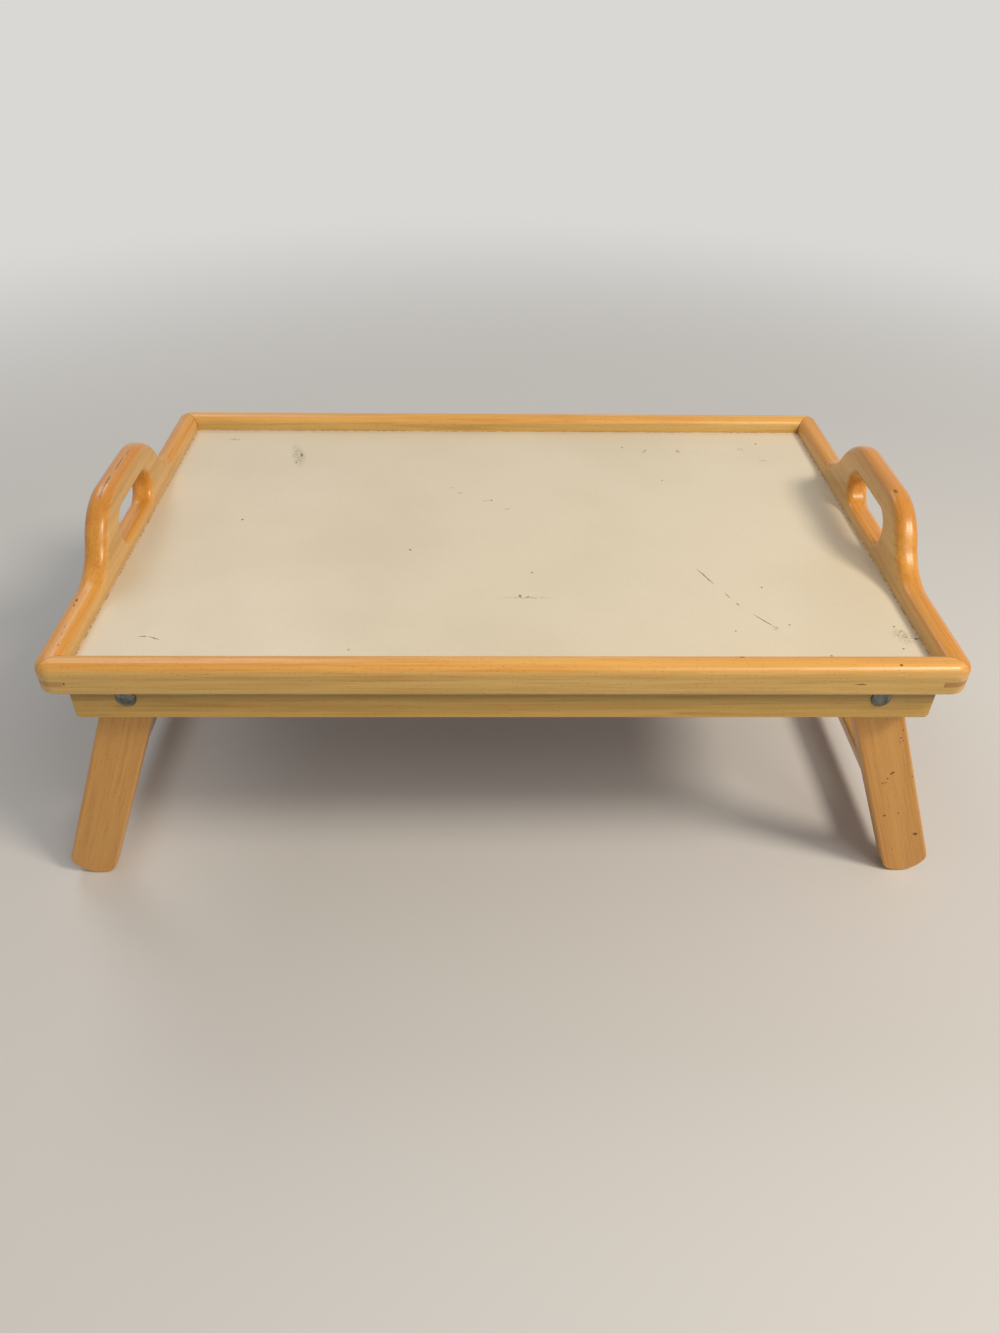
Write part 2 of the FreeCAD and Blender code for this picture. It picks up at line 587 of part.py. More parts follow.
def leg(name, side, end):
    body = new_body(name)
    blank = pad(body, "blade", leg_outline(body), "sizes.leg_thickness", midplane=True)
    corner_height = mm("sizes.leg_width / 2") * math.tan(
        math.radians((90 - mm("sizes.splay_angle")) / 2))
    softened = fillet(body, "shoulder", blank, "sizes.shoulder_rounding",
                      lambda edge: runs_along(edge, 1) and lies_at(edge, 2, corner_height))
    half_thickness = mm("sizes.leg_thickness / 2")
    fillet(body, "edges", softened, "sizes.leg_rounding",
           lambda edge: lies_at(edge, 1, half_thickness) or lies_at(edge, 1, -half_thickness))
    bore = Outline(body, "XZ_Plane", "bore_circle", "sizes.leg_thickness / 2")
    pocket(body, "bore", bore.circle("sizes.bolt_diameter / 2 + sizes.bolt_play"))
    inner = -side * end
    half_x = "(sizes.stretcher_thickness / 2 - sizes.tenon_shoulder + sizes.tenon_play)"
    half_z = "(sizes.stretcher_width / 2 - sizes.tenon_shoulder + sizes.tenon_play)"
    mortise = box_outline(body, "XZ_Plane", "mortise_plan",
                          ("-" + half_x, "-%s - %s" % (STRETCHER_REACH, half_z)),
                          (half_x, "-%s + %s" % (STRETCHER_REACH, half_z)),
                          "%d * sizes.leg_thickness / 2" % -inner)
    pocket(body, "mortise", mortise, "sizes.tenon_length + sizes.tenon_play", reverse=inner > 0)
    middle = "%d * (%s + %s) / 2" % (end, LEG_FACE, LEG_BACK)
    lean(body, side, middle)


def stretcher(name, side):
    """The slat that ties a front leg to its rear leg, with a stub tenon at each end."""
    body = new_body(name)
    half_x, half_z = "sizes.stretcher_thickness / 2", "sizes.stretcher_width / 2"
    low = ("-" + half_x, "-%s - %s" % (STRETCHER_REACH, half_z))
    high = (half_x, "-%s + %s" % (STRETCHER_REACH, half_z))
    slat = pad(body, "slat", box_outline(body, "XZ_Plane", "slat_section", low, high),
               "2 * %s" % LEG_BACK, midplane=True)
    fillet(body, "long_edges", slat, "sizes.stretcher_rounding", lambda edge: runs_along(edge, 1))
    inset_low = tuple("%s + sizes.tenon_shoulder" % place for place in low)
    inset_high = tuple("%s - sizes.tenon_shoulder" % place for place in high)
    section = box_outline(body, "XZ_Plane", "tenon_section", inset_low, inset_high)
    pad(body, "tenons", section, "2 * (%s + sizes.tenon_length)" % LEG_BACK, midplane=True)
    lean(body, side)


for side, end in CORNERS:
    leg("%s_%s_leg" % (END_NAME[end], SIDE_NAME[side]), side, end)
for side in (LEFT, RIGHT):
    stretcher("%s_stretcher" % SIDE_NAME[side], side)


# The pivots: bolt from the apron's show face, spacer, leg, washer, lock nut with its nylon ring.
# Each is drawn about the Y axis, pointing inwards from where it seats, and put on the pivot.

def on_pivot(body, side, end, seat):
    """Puts a turned piece on a pivot with its seat at a distance from the tray's middle plane."""
    turn = FreeCAD.Rotation(FreeCAD.Vector(0, 0, 1), 0 if end < 0 else 180)
    base = FreeCAD.Vector(side * mm("sizes.pivot_spacing / 2"), end * mm(seat), mm(PIVOT_HEIGHT))
    body.Placement = FreeCAD.Placement(base, turn)


SPACER_SEAT = "(%s - sizes.apron_thickness)" % APRON_FACE
WASHER_SEAT = "(%s - sizes.running_gap)" % LEG_BACK
NUT_SEAT = "(%s - sizes.washer_thickness)" % WASHER_SEAT
NUT_HEIGHT = "(sizes.nut_hex_height + sizes.nut_collar_height)"
BOLT_LENGTH = "(%s - %s + %s + sizes.bolt_tip)" % (APRON_FACE, NUT_SEAT, NUT_HEIGHT)
CLEAR_BORE = "(sizes.bolt_diameter / 2 + sizes.hole_play)"
RING_BORE = "(sizes.bolt_diameter / 2 + sizes.ring_play)"
RING_OUTSIDE = "(%s + sizes.ring_wall)" % RING_BORE
RING_SEAT_RADIUS = "(%s + sizes.ring_play)" % RING_OUTSIDE


def revolve(body, name, sketch):
    feature = body.newObject("PartDesign::Revolution", name)
    feature.Profile = sketch
    feature.ReferenceAxis = (sketch, ["V_Axis"])
    feature.Angle = 360
    return worked_out(feature)


def coach_bolt(name, side, end):
    """A domed head on a square neck and a plain shank with a chamfered tip."""
    body = new_body(name)
    head, shank = mm("sizes.bolt_head_diameter / 2"), mm("sizes.bolt_diameter / 2")
    rim, height, length = mm("sizes.bolt_head_rim"), mm("sizes.bolt_head_height"), mm(BOLT_LENGTH)
    rise = height - rim
    dome_radius = "((sizes.bolt_head_diameter / 2) ^ 2 + (%s) ^ 2) / (2 * (%s))" % (
        ("sizes.bolt_head_height - sizes.bolt_head_rim",) * 2)
    chamfer = "sizes.bolt_diameter / 8"
    outline = Outline(body, "XY_Plane", "profile")
    outline.arc((0, -height + mm(dome_radius)), dome_radius, (0, -height), (head, -height + rise))
    side_line = outline.line((head, -rim), (head, 0))
    seat = outline.line((head, 0), (shank, 0))
    barrel = outline.line((shank, 0), (shank, length - mm(chamfer)))
    bevel = outline.line((shank, length - mm(chamfer)), (shank - mm(chamfer), length))
    tip = outline.line((shank - mm(chamfer), length), (0, length))
    axis = outline.line((0, length), (0, -height))
    outline.pin(axis, 2, "0", "-sizes.bolt_head_height")
    outline.pin(side_line, 1, "sizes.bolt_head_diameter / 2", "-sizes.bolt_head_rim")
    outline.pin(seat, 1, "sizes.bolt_head_diameter / 2", "0")
    outline.pin(barrel, 1, "sizes.bolt_diameter / 2", "0")
    outline.pin(bevel, 1, "sizes.bolt_diameter / 2", "%s - %s" % (BOLT_LENGTH, chamfer))
    outline.pin(tip, 1, "sizes.bolt_diameter / 2 - %s" % chamfer, BOLT_LENGTH)
    outline.pin(tip, 2, "0", BOLT_LENGTH)
    revolve(body, "turned", outline.close())
    half = "sizes.bolt_diameter / 2"
    square = box_outline(body, "XZ_Plane", "neck_square", ("-" + half, "-" + half), (half, half))
    pad(body, "neck", square, "sizes.bolt_neck", reverse=True)
    on_pivot(body, side, end, APRON_FACE)


def flat_ring(name, side, end, radii, thickness, seat):
    """A washer or locking ring; radii holds its outer and inner radius."""
    body = new_body(name)
    outline = Outline(body, "XZ_Plane", "ring")
    for radius in radii:
        outline.circle(radius)
    pad(body, "disc", outline.sketch, thickness, reverse=True)
    on_pivot(body, side, end, seat)


def lock_nut(name, side, end):
    """A hexagon with a rounded collar on top, which has a seat for the locking ring."""
    body = new_body(name)
    flats = "(%s + sizes.nut_wall)" % CLEAR_BORE
    outline = Outline(body, "XZ_Plane", "hexagon")
    corners = []
    for number in range(6):
        angle = "%d * 1deg" % (30 + 60 * number)
        corners.append(("%s / cos(30 * 1deg) * cos(%s)" % (flats, angle),
                        "%s / cos(30 * 1deg) * sin(%s)" % (flats, angle)))
    pad(body, "hexagon_body", outline.polygon(corners), "sizes.nut_hex_height", reverse=True)
    collar = Outline(body, "XZ_Plane", "collar_circle").circle(
        "%s + sizes.nut_collar_wall" % RING_SEAT_RADIUS)
    turned = pad(body, "collar", collar, NUT_HEIGHT, reverse=True)
    top = mm(NUT_HEIGHT)
    fillet(body, "collar_edge", turned, "sizes.nut_collar_height / 2",
           lambda edge: isinstance(edge.Curve, Part.Circle) and lies_at(edge, 1, top))
    pocket(body, "bore", Outline(body, "XZ_Plane", "bore_circle").circle(CLEAR_BORE))
    seat = Outline(body, "XZ_Plane", "ring_seat_circle", "-%s" % NUT_HEIGHT).circle(
        RING_SEAT_RADIUS)
    pocket(body, "ring_seat", seat, "sizes.ring_depth + sizes.ring_height", reverse=True)
    on_pivot(body, side, end, NUT_SEAT)


WASHER_RADII = ("sizes.washer_diameter / 2", CLEAR_BORE)
RING_RADII = (RING_OUTSIDE, RING_BORE)
RING_SEAT = "(%s - %s + sizes.ring_depth + sizes.ring_height)" % (NUT_SEAT, NUT_HEIGHT)

for side, end in CORNERS:
    corner = "%s_%s" % (END_NAME[end], SIDE_NAME[side])
    coach_bolt(corner + "_bolt", side, end)
    flat_ring(corner + "_spacer", side, end, WASHER_RADII, "sizes.spacer_thickness", SPACER_SEAT)
    flat_ring(corner + "_washer", side, end, WASHER_RADII, "sizes.washer_thickness", WASHER_SEAT)
    lock_nut(corner + "_nut", side, end)
    flat_ring(corner + "_nylon_ring", side, end, RING_RADII, "sizes.ring_height", RING_SEAT)


# Every feature has to have worked, and every sub-part to be one sound solid.

doc.recompute()
for item in doc.Objects:
    if "Invalid" in item.State or "Error" in item.State:
        raise RuntimeError("%s failed: %s" % (item.Label, item.State))
for body in sub_parts:
    shape = body.Shape
    if shape.isNull() or not shape.isValid() or len(shape.Solids) != 1:
        raise RuntimeError("%s isn't one sound solid" % body.Label)

os.makedirs("parts", exist_ok=True)
for body in sub_parts:
    body.Shape.exportStep(os.path.join("parts", body.Label + ".step"))
print("%d sub-parts" % len(sub_parts))
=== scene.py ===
import math

import bmesh
import bpy
from mathutils import Matrix, Vector


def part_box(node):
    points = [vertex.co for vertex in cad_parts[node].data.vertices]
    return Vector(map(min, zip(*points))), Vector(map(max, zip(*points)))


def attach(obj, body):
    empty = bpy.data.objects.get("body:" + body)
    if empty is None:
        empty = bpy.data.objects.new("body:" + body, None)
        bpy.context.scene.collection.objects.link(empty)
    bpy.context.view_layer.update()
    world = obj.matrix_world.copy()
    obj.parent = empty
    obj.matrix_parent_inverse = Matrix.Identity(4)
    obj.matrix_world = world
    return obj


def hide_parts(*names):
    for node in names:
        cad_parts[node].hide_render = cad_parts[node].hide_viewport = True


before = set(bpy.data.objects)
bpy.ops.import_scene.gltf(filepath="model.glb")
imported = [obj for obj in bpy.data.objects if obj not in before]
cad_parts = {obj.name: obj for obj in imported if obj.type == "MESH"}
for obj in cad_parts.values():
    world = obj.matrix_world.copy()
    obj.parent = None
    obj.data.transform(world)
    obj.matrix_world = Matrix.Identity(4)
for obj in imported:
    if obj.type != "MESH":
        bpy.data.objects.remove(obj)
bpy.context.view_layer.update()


# The frame: two rails and two end boards of European beech, run through a moulder, mitred, glued
# and sanded as one, then sprayed with a clear lacquer. Their tops and rims are painted a deeper
# amber than their upright sides: painted light from above, on lacquer that has yellowed in it.
# Beech shows close soft rings, fine dark ray flecks and no open pores, so its gloss is even.

def linear(code):
    """The linear colour of an sRGB hex code."""
    parts = [int(code[place:place + 2], 16) / 255 for place in (1, 3, 5)]
    return [part / 12.92 if part <= 0.04045 else ((part + 0.055) / 1.055) ** 2.4
            for part in parts] + [1.0]


def add(tree, kind, feeds=None, **settings):
    """Adds a shader node; feeds gives its inputs values, or nodes and outputs to link them to."""
    made = tree.nodes.new("ShaderNode" + kind)
    for name, value in settings.items():
        setattr(made, name, value)
    for place, value in (feeds or {}).items():
        socket = made.inputs[place] if isinstance(place, int) else next(
            item for item in made.inputs if item.enabled and item.name == place)
        if isinstance(value, bpy.types.Node):
            value = next(item for item in value.outputs if item.enabled)
        if isinstance(value, bpy.types.NodeSocket):
            tree.links.new(value, socket)
        else:
            socket.default_value = value
    return made


def blank_material(name):
    """A material with nothing but its output, its node tree and that output."""
    material = bpy.data.materials.new(name)
    material.use_nodes = True
    material.node_tree.nodes.clear()
    return material, material.node_tree, add(material.node_tree, "OutputMaterial")


def dress(piece, material):
    """Gives a piece one material in place of any that it has."""
    piece.data.materials.clear()
    piece.data.materials.append(material)


def overlaid(tree, tone, *coats):
    """Lays coats over a tone, one after another. A coat is its mask, its strength, and its colour
    as a hex code or a node."""
    for mask, strength, colour in coats:
        amount = mask if strength == 1.0 else add(tree, "Math", {0: mask, 1: strength},
                                                  operation="MULTIPLY")
        tone = add(tree, "Mix", {
            "Factor": amount, "A": tone,
            "B": linear(colour) if isinstance(colour, str) else colour}, data_type="RGBA")
    return tone


def blots(tree, place, marks, soft):
    """A mask that is 1 in the middle of each mark and 0 outside them all. A mark is the centre
    and half size of an ellipsoid in mm and its turn about Z in degrees; soft is the share of the
    way out at which it starts to fade."""
    mask = None
    for centre, half_size, angle in marks:
        near = add(tree, "Mapping", {
            "Vector": place, "Location": [part / 1000 for part in centre],
            "Rotation": (0.0, 0.0, math.radians(angle)),
            "Scale": [part / 1000 for part in half_size]}, vector_type="TEXTURE")
        reach = add(tree, "VectorMath", {0: near}, operation="LENGTH")
        inside = add(tree, "MapRange", {"Value": reach.outputs["Value"], "From Min": 1.0,
                                        "From Max": soft}, interpolation_type="SMOOTHSTEP")
        mask = inside if mask is None else add(tree, "Math", {0: mask, 1: inside},
                                               operation="MAXIMUM")
    return mask


ALONG_X = (0.0, 0.0, 0.0)
ALONG_Y = (0.0, 0.0, -math.pi / 2)
WAVE_UNIT = math.tau / 20  # the scale at which a wave texture repeats once in each unit
RING_MM = 2.6  # width of a year's growth
# length along the grain and width across it of each figure in the wood, in mm; the fibre is drawn
# about five times coarser than the real 0.1 mm, so that it shows
FIGURE_MM = {"rings": (30.0, 1.0), "bands": (210.0, 8.0), "streaks": (85.0, 1.9),
             "fibre": (24.0, 0.5), "flecks": (4.4, 1.15), "sheen": (34.0, 9.0)}
DENT_WANDER_MM, DENT_TURNS = 1.2, 600.0  # how far a dent's outline strays, and how often a metre
ARRIS_MM, GLUE_MM = 0.9, 0.3  # half widths of the worn, highlit arris and of a glue line
POLISH_MM = 20.0  # height over which the handles' polish comes on
AMBER = ("#EBB25A", "#CE8428")   # painted light on the top and rim, on lacquer yellowed there: early wood, late wood
HONEY = ("#DBB368", "#B6873C")   # lacquer on the upright faces
GRIP_LIT_AMBER = ("#E29F3E", "#C0741A")  # the end boards' rims: painted light from above, and darkened by hands
GRIP_TAN = ("#E3B56F", "#BF8941")    # the end boards' flat sides
FLECK = "#7A4A1E"
# the last of these, an olive, is painted shadow that the aprons darken to under the rails'
# overhang
BRUISE, STAIN, SHADOW_OLIVE = "#2E1D12", "#7A4719", "#75692F"
BARE_AND_HIGHLIGHT = "#E6CB9C"                 # pale wood and painted highlight on the worn lower arris


def lacquered_beech(name, turn, pith, cut, lit=AMBER, upright=HONEY, marks=(), bruise=BRUISE,
                    mitred=False, rubbed_and_highlit=None, handled=None, shadow_heights=None):
    """Beech under satin lacquer. turn brings the grain to X, pith is the log's middle across the
    grain and cut the place along the log, in mm. lit is the rim's pair of colours, painted light
    from above on lacquer yellowed by it, and upright the flat sides'. marks are dents, as blots
    takes them, of the colour bruise. mitred draws the glue lines, rubbed is the height of a lower
    arris painted pale, worn and with a painted highlight, handled the height above which hands
    hold the piece, and sheltered the two heights between which it darkens upwards in painted
    shadow.
    """
    material, tree, output = blank_material(name)
    place = add(tree, "TexCoord")
    spot = add(tree, "SeparateXYZ", {"Vector": place.outputs["Object"]})
    faces = add(tree, "SeparateXYZ", {"Vector": place.outputs["Normal"]})
    grain = add(tree, "Mapping", {"Vector": place.outputs["Object"], "Location": (cut, *pith),
                                  "Rotation": turn, "Scale": (1000.0, 1000.0, 1000.0)})
    laid = {figure: add(tree, "VectorMath", {0: grain, 1: (1 / length, 1 / width, 1 / width)},
                        operation="MULTIPLY")
            for figure, (length, width) in FIGURE_MM.items()}
    rings = add(tree, "TexWave", {
        "Vector": laid["rings"], "Scale": WAVE_UNIT / RING_MM, "Distortion": 9.0,
        "Detail": 2.5, "Detail Scale": 0.22, "Detail Roughness": 0.55},
        wave_type="RINGS", rings_direction="X", wave_profile="SAW")
    bands = add(tree, "TexNoise", {"Vector": laid["bands"], "Scale": 1.0, "Detail": 3.0})
    streaks = add(tree, "TexNoise", {"Vector": laid["streaks"], "Scale": 1.0, "Detail": 3.0,
                                     "Roughness": 0.6})
    fibre = add(tree, "TexNoise", {"Vector": laid["fibre"], "Scale": 1.0, "Detail": 4.0,
                                   "Roughness": 0.65})
    cells = add(tree, "TexVoronoi", {"Vector": laid["flecks"], "Scale": 1.0})
    cell_draw = add(tree, "SeparateColor", {"Color": cells.outputs["Color"]})
    sheen = add(tree, "TexNoise", {"Vector": laid["sheen"], "Scale": 1.0, "Detail": 3.0})

    # a moulded length is pale on its two flat sides, and amber all round its rim away from its
    # underside: painted light from above, on lacquer that has yellowed in it
    sideways = add(tree, "Math", {0: faces.outputs["X" if turn == ALONG_Y else "Y"]},
                   operation="ABSOLUTE")
    limits = {"late": (rings.outputs["Fac"], 0.3, 1.0), "slow": (bands, 0.3, 0.7),
              "dark_streak": (streaks, 0.5, 0.72), "light_streak": (streaks, 0.5, 0.3),
              "dark_fibre": (fibre, 0.5, 0.74), "light_fibre": (fibre, 0.5, 0.3),
              "dash": (cells.outputs["Distance"], 0.25, 0.12), "kept": (cell_draw, 0.4, 0.48),
              "rim": (sideways, 0.97, 0.75), "upward": (faces.outputs["Z"], -0.7, -0.2),
              "gloss": (sheen, 0.3, 0.7)}
    masks = {mask: add(tree, "MapRange", {"Value": value, "From Min": low, "From Max": high},
                       interpolation_type="SMOOTHSTEP")
             for mask, (value, low, high) in limits.items()}
    year = add(tree, "Math", {0: masks["late"], 1: masks["slow"]}, operation="MULTIPLY")
    fleck = add(tree, "Math", {0: masks["dash"], 1: masks["kept"]}, operation="MULTIPLY")
    lit_and_aged = add(tree, "Math", {0: masks["rim"], 1: masks["upward"]}, operation="MULTIPLY")
    pale, deep = [add(tree, "Mix", {"Factor": lit_and_aged, "A": linear(upright[number]),
                                    "B": linear(lit[number])}, data_type="RGBA")
                  for number in (0, 1)]
    tone = overlaid(
        tree, pale, (masks["slow"], 0.4, deep), (year, 0.35, deep),
        (masks["dark_streak"], 0.6, deep), (masks["light_streak"], 0.5, pale),
        (masks["dark_fibre"], 0.45, deep), (masks["light_fibre"], 0.4, pale),
        (fleck, 0.36, FLECK))
    pits = add(tree, "Math", {0: fleck, 1: -0.8}, operation="MULTIPLY")
    relief = add(tree, "Math", {0: fibre, 1: 0.3, 2: pits}, operation="MULTIPLY_ADD")

    if rubbed_and_highlit:
        # the lower arris painted pale in a broken line: wear where the tray is slid and stacked,
        # and a painted highlight along the arris; the flat underside lies at the same height, and
        # is left as it is
        arris = add(tree, "Math", {0: spot.outputs["Z"], 1: rubbed_and_highlit / 1000, 2: ARRIS_MM / 1000},
                    operation="COMPARE")
        worn_and_lit = add(tree, "MapRange", {"Value": sheen, "From Min": 0.42, "From Max": 0.62},
                   interpolation_type="SMOOTHSTEP")
        broken = add(tree, "MapRange", {"Value": fibre, "From Min": 0.4, "From Max": 0.55,
                                        "To Max": 0.6}, interpolation_type="SMOOTHSTEP")
        slanting = add(tree, "MapRange", {"Value": faces.outputs["Z"], "From Min": -0.98,
                                          "From Max": -0.85}, interpolation_type="SMOOTHSTEP")
        for factor in (worn_and_lit, broken, slanting):
            arris = add(tree, "Math", {0: arris, 1: factor}, operation="MULTIPLY")
        tone = overlaid(tree, tone, (arris, 1.0, BARE_AND_HIGHLIGHT))

    if marks:
        shake = add(tree, "TexNoise", {"Vector": place.outputs["Object"], "Scale": DENT_TURNS,
                                       "Detail": 3.0})
        centred = add(tree, "VectorMath", {0: shake.outputs["Color"], 1: (0.5, 0.5, 0.5)},
                      operation="SUBTRACT")
        ragged = add(tree, "VectorMath", {0: centred, 1: [DENT_WANDER_MM / 1000] * 3,
                                          2: place.outputs["Object"]}, operation="MULTIPLY_ADD")
        dent = blots(tree, ragged, marks, 0.55)
        tone = overlaid(tree, tone, (dent, 1.0, bruise))
        relief = add(tree, "Math", {0: dent, 1: -2.5, 2: relief}, operation="MULTIPLY_ADD")

    if mitred:
        # the glue line: a dark hair along the plane where rail and end board meet
        across, back = [add(tree, "Math", {0: spot.outputs[axis]}, operation="ABSOLUTE")
                        for axis in ("X", "Y")]
        gap = add(tree, "Math", {0: across, 1: back}, operation="SUBTRACT")
        line = add(tree, "Math", {0: gap, 1: MITRE_OFFSET, 2: GLUE_MM / 1000},
                   operation="COMPARE")
        tone = overlaid(tree, tone, (line, 0.7, FLECK))
        relief = add(tree, "Math", {0: line, 1: -2.0, 2: relief}, operation="MULTIPLY_ADD")

    if shadow_heights:
        # painted shadow: the piece darkens upwards to olive where the rail overhangs it
        painted_shadow = add(tree, "MapRange", {
            "Value": spot.outputs["Z"], "From Min": shadow_heights[0] / 1000,
            "From Max": shadow_heights[1] / 1000, "To Max": 0.5}, interpolation_type="SMOOTHSTEP")
        tone = overlaid(tree, tone, (painted_shadow, 1.0, SHADOW_OLIVE))

    rough = add(tree, "MapRange", {"Value": masks["gloss"], "To Min": 0.34, "To Max": 0.46})
    if handled:
        # palms have polished the crown and left it a shade warmer
        held = add(tree, "MapRange", {"Value": spot.outputs["Z"], "From Min": handled / 1000,
                                      "From Max": (handled + POLISH_MM) / 1000},
                   interpolation_type="SMOOTHSTEP")
        tone = overlaid(tree, tone, (held, 0.4, deep))
        rough = add(tree, "Math", {0: held, 1: -0.08, 2: rough}, operation="MULTIPLY_ADD")

    bump = add(tree, "Bump", {"Height": relief, "Strength": 0.35, "Distance": 0.00012})
    shader = add(tree, "BsdfPrincipled", {
        "Base Color": tone, "Roughness": rough, "IOR": 1.5, "Specular IOR Level": 0.25,
        "Normal": bump, "Coat Weight": 0.45, "Coat Roughness": 0.23, "Coat IOR": 1.5})
    tree.links.new(shader.outputs[0], output.inputs["Surface"])
    return material


board_low, board_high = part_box("right_end_board")
rail_low, rail_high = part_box("front_rail")
# rails and end boards meet where |x| - |y| equals half the difference of the frame's two sizes
MITRE_OFFSET = board_high.x + rail_low.y
UNDER_ARRIS = rail_low.z * 1000 + 1.0   # 1 mm above the rails' underside
HELD_ABOVE = rail_high.z * 1000 + 18.0  # 18 mm above the rails' top

RAIL_MARKS = [
    ((242.8, -185.6, 219.1), (1.3, 1.0, 1.2), 0), ((219.4, -190, 207.1), (4.6, 1.2, 0.5), 0),
    ((-270.4, -190, 207.3), (0.9, 1.0, 1.3), 20), ((146, -178, 218.9), (2.6, 1.2, 1.0), 0)]
LEFT_MARKS = [
    ((-280.2, -1, 260.5), (0.6, 13.5, 4.0), 1), ((-279.4, 17, 260.5), (0.4, 7, 4.0), 3),
    ((-280.6, -26.5, 260.5), (0.8, 7.5, 4.0), 1), ((-280.4, -40, 259.0), (0.6, 13, 9.0), 0),
    ((-283.2, -117.5, 219), (0.8, 2.6, 2.0), 8), ((-283.0, -123.5, 219), (0.6, 1.8, 2.0), -10),
    ((-281.2, -147.5, 219), (0.45, 0.9, 2.0), 0), ((-280.3, -155, 219), (0.4, 1.6, 2.0), 14),
    ((-278.7, -166.5, 219), (0.4, 1.2, 2.0), 0)]
RIGHT_MARKS = [((278.2, -38, 260.2), (1.5, 3.0, 1.6), 12)]

dress(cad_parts["front_rail"], lacquered_beech(
    "beech_front_rail", ALONG_X, (31.0, -262.0), 40.0, marks=RAIL_MARKS, bruise=STAIN,
    mitred=True, rubbed_and_highlit=UNDER_ARRIS))
dress(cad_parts["rear_rail"], lacquered_beech(
    "beech_rear_rail", ALONG_X, (-204.0, -255.0), 910.0, mitred=True, rubbed_and_highlit=UNDER_ARRIS))
dress(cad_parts["left_end_board"], lacquered_beech(
    "beech_left_end_board", ALONG_Y, (338.0, -214.0), 1700.0, GRIP_LIT_AMBER, GRIP_TAN,
    marks=LEFT_MARKS, mitred=True, rubbed_and_highlit=UNDER_ARRIS, handled=HELD_ABOVE))
dress(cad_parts["right_end_board"], lacquered_beech(
    "beech_right_end_board", ALONG_Y, (-322.0, -224.0), 2600.0, GRIP_LIT_AMBER, GRIP_TAN,
    marks=RIGHT_MARKS, mitred=True, rubbed_and_highlit=UNDER_ARRIS, handled=HELD_ABOVE))


# The corner keys: a flat slip of beech glued into a saw kerf across each mitre and sanded flush,
# so that only its end grain shows, as a small oblong on each face of the corner. End grain
# drinks the lacquer, so it is a shade darker than the faces round it.

KEY_TONES = {"left": ("#D2A65A", "#BC8B42"), "right": ("#C4914A", "#A87534")}
VESSEL_MM = 0.6  # spacing of the vessels' dots, drawn coarser than the real 0.1 mm
SOAKED_MM = 5.0  # size of the patches that drank more lacquer


def end_grain(name, tones):
    """Beech cut across: close dark dots in a cloudy ground, less shiny than along the grain."""
    material, tree, output = blank_material(name)
    place = add(tree, "TexCoord").outputs["Object"]
    vessels = add(tree, "TexVoronoi", {"Vector": place, "Scale": 1000 / VESSEL_MM})
    cloud = add(tree, "TexNoise", {"Vector": place, "Scale": 1000 / SOAKED_MM, "Detail": 3.0})
    dots = add(tree, "MapRange", {"Value": vessels.outputs["Distance"], "From Min": 0.3,
                                  "From Max": 0.6, "To Max": 0.3}, interpolation_type="SMOOTHSTEP")
    tone = overlaid(tree, linear(tones[0]), (cloud, 1.0, tones[1]), (dots, 1.0, FLECK))
    bump = add(tree, "Bump", {"Height": dots, "Strength": 0.4, "Distance": 0.0001})
    shader = add(tree, "BsdfPrincipled", {
        "Base Color": tone, "Roughness": 0.45, "IOR": 1.5, "Normal": bump,
        "Coat Weight": 0.35, "Coat Roughness": 0.24, "Coat IOR": 1.5})
    tree.links.new(shader.outputs[0], output.inputs["Surface"])
    return material


SIDES = ("left", "right")
CORNERS = [end + "_" + side for end in ("front", "rear") for side in SIDES]
for side in SIDES:
    key_wood = end_grain("beech_end_grain_" + side, KEY_TONES[side])
    for end in ("front", "rear"):
        dress(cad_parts["%s_%s_corner_key" % (end, side)], key_wood)


# The panel: 3 mm hardboard with a cream melamine face, slid into the rabbets. The face is smooth
# with a soft shine, and years of use have left knife marks, scuffs and specks; a broken dark line
# along the frame is dirt and painted shade in the corner. The underside is bare brown board with
# the weave of the press screen in it.

CREAM = ("#E2D5BB", "#DACDB2")
BOARD = ("#8D6740", "#6E4C2C", "#A57E54")
# the fourth colour, of the line along the frame, is dirt and painted shade in the corner
SCUFF, KNIFE, SPECK, DIRT_AND_SHADE = "#877C66", "#3A332B", "#5A4A34", "#6B563A"
FACE_MM = 0.4  # thickness of the melamine
SCREEN_MM = 1.6  # mesh of the press screen on the underside
FADED_MM, MOTTLE_MM, GRIT_MM, FLAKE_MM = 130.0, 2.2, 1.3, 3.0
DIRT_SHADE_MM = (1.6, 0.2)  # how far out from the frame the dark line of dirt and painted shade begins, and is full
MARK_WANDER_MM, MARK_TURNS = 1.6, 450.0  # how far a mark's outline strays, and how often a metre
MARK_DEPTH_MM = 1.0
HAIRS = ((25.0, 70.0, 1.7), (-38.0, 55.0, 1.9), (82.0, 90.0, 2.3))  # angle, length, spacing in mm
# middle, half length, half width and angle of each mark, in mm and degrees
SCRATCHES = [
    ((145.5, -67.8), 13.3, 0.6, -66), ((156.5, -92), 4.0, 0.4, -64),
    ((161.5, -102.5), 2.4, 0.4, -64), ((175.3, -122.2), 12.9, 0.5, -54),
    ((-227.2, -142.6), 5.6, 0.45, -26), ((-235, -140.6), 3.4, 0.5, 4)]
SCUFFS = [
    ((-174, 124), 7.5, 30.0, 14), ((-10.9, 43.3), 4.4, 2.6, 10), ((5.2, 30), 4.5, 2.0, 5),
    ((16.8, -95.2), 24.0, 1.6, 0), ((-39.8, 65.1), 2.6, 2.2, 0), ((-32.6, 56.2), 2.4, 1.6, -30),
    ((181, -131), 3.6, 3.0, 20), ((127.9, 134), 2.4, 6.0, -35), ((157.5, 134.3), 2.5, 6.5, 0),
    ((228.9, 116.9), 5.0, 2.6, 0), ((214.1, 138.6), 4.0, 4.5, 0), ((-234.9, 154), 7.0, 3.0, 0),
    ((264, -140), 9.0, 12.0, 30)]
